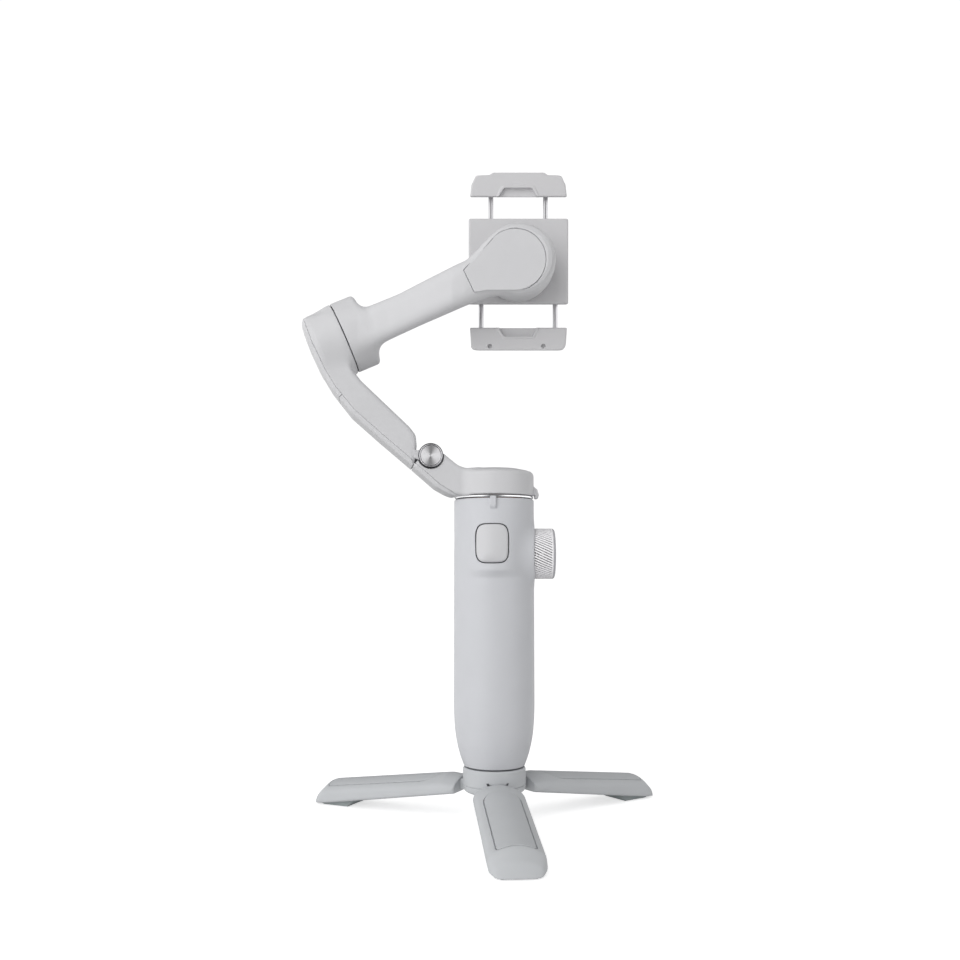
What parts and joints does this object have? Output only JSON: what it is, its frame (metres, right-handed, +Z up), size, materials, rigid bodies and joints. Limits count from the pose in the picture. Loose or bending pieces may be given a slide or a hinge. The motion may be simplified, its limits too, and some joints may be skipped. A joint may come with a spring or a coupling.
{
  "type": "phone gimbal stabilizer",
  "caption": "Handheld phone gimbal: round handle with trigger and side dial, folding arm, motorised tilt and roll joints, sprung-jaw phone clamp, folding tripod.",
  "frame": {"origin": "middle of the bounding box's footprint, at the soles of the tripod's feet", "axes": "+Z up along the handle, +X towards the side dial, -Y towards the trigger side and +Y towards the thumb controls and the phone's screen side"},
  "size_m": [0.1754, 0.1586, 0.3048],
  "materials": {
    "handle_shell": "satin",
    "control_panel": "satin",
    "base_insert": "satin",
    "battery_cell": "gloss",
    "battery_cradle": "satin",
    "main_board": "matte",
    "usb_port": "satin",
    "status_light": "gloss",
    "yaw_stator": "satin",
    "trim_ring": "polished",
    "tripod_hub": "satin",
    "tripod_stud": "polished",
    "leg_pin_1": "polished",
    "leg_pin_2": "polished",
    "leg_pin_3": "polished",
    "arm_base": "satin",
    "arm_base_cover": "satin",
    "yaw_rotor": "satin",
    "hinge_pin": "polished",
    "upper_arm": "satin",
    "upper_arm_cover": "satin",
    "tilt_motor_cover": "satin",
    "hinge_disc": "polished",
    "hinge_rear_cap": "polished",
    "tilt_stator": "satin",
    "roll_arm": "satin",
    "roll_arm_cover": "satin",
    "tilt_rotor": "satin",
    "roll_stator": "satin",
    "clamp_plate": "satin",
    "phone_pad": "matte",
    "roll_rotor": "satin",
    "sync_pinion": "satin",
    "upper_jaw": "satin",
    "upper_jaw_pad": "matte",
    "upper_rod_left": "polished",
    "upper_rod_right": "polished",
    "upper_slider": "satin",
    "lower_jaw": "satin",
    "lower_jaw_pad": "matte",
    "lower_rod_left": "polished",
    "lower_rod_right": "polished",
    "lower_slider": "satin",
    "trigger_button": "satin",
    "dial_wheel": "satin",
    "joystick_yoke": "satin",
    "joystick_cap": "matte",
    "record_button": "satin",
    "mode_button": "matte",
    "power_button": "satin",
    "leg_1": "satin",
    "leg_panel_1": "matte",
    "leg_foot_1": "matte",
    "leg_2": "satin",
    "leg_panel_2": "matte",
    "leg_foot_2": "matte",
    "leg_3": "satin",
    "leg_panel_3": "matte",
    "leg_foot_3": "matte"
  },
  "bodies": {
    "handle": {"handle_shell": "handle_shell", "control_panel": "control_panel", "base_insert": "base_insert", "battery_cell": "battery_cell", "battery_cradle": "battery_cradle", "main_board": "main_board", "usb_port": "usb_port", "status_light": "status_light", "yaw_stator": "yaw_stator", "trim_ring": "trim_ring", "tripod_hub": "tripod_hub", "tripod_stud": "tripod_stud", "leg_pin_1": "leg_pin_1", "leg_pin_2": "leg_pin_2", "leg_pin_3": "leg_pin_3"},
    "pan_yoke": {"arm_base": "arm_base", "arm_base_cover": "arm_base_cover", "yaw_rotor": "yaw_rotor", "hinge_pin": "hinge_pin"},
    "fold_arm": {"upper_arm": "upper_arm", "upper_arm_cover": "upper_arm_cover", "tilt_motor_cover": "tilt_motor_cover", "hinge_disc": "hinge_disc", "hinge_rear_cap": "hinge_rear_cap", "tilt_stator": "tilt_stator"},
    "tilt_arm": {"roll_arm": "roll_arm", "roll_arm_cover": "roll_arm_cover", "tilt_rotor": "tilt_rotor", "roll_stator": "roll_stator"},
    "clamp": {"clamp_plate": "clamp_plate", "phone_pad": "phone_pad", "roll_rotor": "roll_rotor"},
    "pinion": {"sync_pinion": "sync_pinion"},
    "upper_jaw_set": {"upper_jaw": "upper_jaw", "upper_jaw_pad": "upper_jaw_pad", "upper_rod_left": "upper_rod_left", "upper_rod_right": "upper_rod_right", "upper_slider": "upper_slider"},
    "lower_jaw_set": {"lower_jaw": "lower_jaw", "lower_jaw_pad": "lower_jaw_pad", "lower_rod_left": "lower_rod_left", "lower_rod_right": "lower_rod_right", "lower_slider": "lower_slider"},
    "trigger": {"trigger_button": "trigger_button"},
    "dial": {"dial_wheel": "dial_wheel"},
    "stick_yoke": {"joystick_yoke": "joystick_yoke"},
    "stick": {"joystick_cap": "joystick_cap"},
    "record": {"record_button": "record_button"},
    "mode": {"mode_button": "mode_button"},
    "power": {"power_button": "power_button"},
    "leg_1_set": {"leg_1": "leg_1", "leg_panel_1": "leg_panel_1", "leg_foot_1": "leg_foot_1"},
    "leg_2_set": {"leg_2": "leg_2", "leg_panel_2": "leg_panel_2", "leg_foot_2": "leg_foot_2"},
    "leg_3_set": {"leg_3": "leg_3", "leg_panel_3": "leg_panel_3", "leg_foot_3": "leg_foot_3"}
  },
  "joints": [
    {"name": "pan", "type": "hinge", "parent": "handle", "child": "pan_yoke", "pos_m": [0.00445, 0.01756, 0.155], "axis": [0, 0, 1], "range_deg": [-76, 252]},
    {"name": "arm_fold", "type": "hinge", "parent": "pan_yoke", "child": "fold_arm", "pos_m": [-0.02649, 0.01431, 0.169], "axis": [-0.1045, 0.9945, 0], "range_deg": [0, 72]},
    {"name": "tilt", "type": "hinge", "parent": "fold_arm", "child": "tilt_arm", "pos_m": [-0.06706, 0.01005, 0.226], "axis": [0.9071, 0.0953, 0.4099], "range_deg": [-150, 150]},
    {"name": "roll", "type": "hinge", "parent": "tilt_arm", "child": "clamp", "pos_m": [0.01545, -0.00037, 0.25723], "axis": [0, 0.9962, 0.0872], "range_deg": [-150, 150]},
    {"name": "clamp_open", "type": "slide", "parent": "clamp", "child": "upper_jaw_set", "axis": [0, -0.0872, 0.9962], "range_m": [-0.0065, 0.0085]},
    {"name": "clamp_follow", "type": "slide", "parent": "clamp", "child": "lower_jaw_set", "axis": [0, 0.0872, -0.9962], "range_m": [-0.0066, 0.0086]},
    {"name": "pinion_turn", "type": "hinge", "parent": "clamp", "child": "pinion", "pos_m": [0.01589, 0.00529, 0.26134], "axis": [0, -0.9962, -0.0872], "range_deg": [-102, 102]},
    {"name": "leg_fold_1", "type": "hinge", "parent": "handle", "child": "leg_1_set", "pos_m": [0.00535, 0.0072, 0.0156], "axis": [0.9962, 0.0872, 0], "range_deg": [0, 79]},
    {"name": "leg_fold_2", "type": "hinge", "parent": "handle", "child": "leg_2_set", "pos_m": [0.01296, 0.02353, 0.0156], "axis": [-0.5736, 0.8192, 0], "range_deg": [0, 79]},
    {"name": "leg_fold_3", "type": "hinge", "parent": "handle", "child": "leg_3_set", "pos_m": [-0.00498, 0.02196, 0.0156], "axis": [-0.4226, -0.9063, 0], "range_deg": [0, 79]},
    {"name": "trigger_press", "type": "slide", "parent": "handle", "child": "trigger", "axis": [0, 1, 0], "range_m": [0, 0.0012], "stiffness_N_per_m": 400},
    {"name": "dial_turn", "type": "hinge", "parent": "handle", "child": "dial", "pos_m": [0.02845, 0.01756, 0.1236], "axis": [1, 0, 0], "continuous": true},
    {"name": "stick_sway", "type": "hinge", "parent": "handle", "child": "stick_yoke", "pos_m": [0.00445, 0.03216, 0.128], "axis": [0, 0, 1], "range_deg": [-12, 12], "stiffness_Nm_per_rad": 0.02},
    {"name": "stick_nod", "type": "hinge", "parent": "stick_yoke", "child": "stick", "pos_m": [0.00445, 0.03216, 0.128], "axis": [1, 0, 0], "range_deg": [-12, 12], "stiffness_Nm_per_rad": 0.02},
    {"name": "record_press", "type": "slide", "parent": "handle", "child": "record", "axis": [0, -1, 0], "range_m": [0, 0.0008], "stiffness_N_per_m": 400},
    {"name": "mode_press", "type": "slide", "parent": "handle", "child": "mode", "axis": [0, -1, 0], "range_m": [0, 0.0008], "stiffness_N_per_m": 400},
    {"name": "power_press", "type": "slide", "parent": "handle", "child": "power", "axis": [0.866, -0.5, 0], "range_m": [0, 0.0008], "stiffness_N_per_m": 400}
  ],
  "couplings": [
    {"joint": "clamp_follow", "follows": "clamp_open", "ratio": 1},
    {"joint": "pinion_turn", "follows": "clamp_open", "rad_per_m": 204.08}
  ]
}
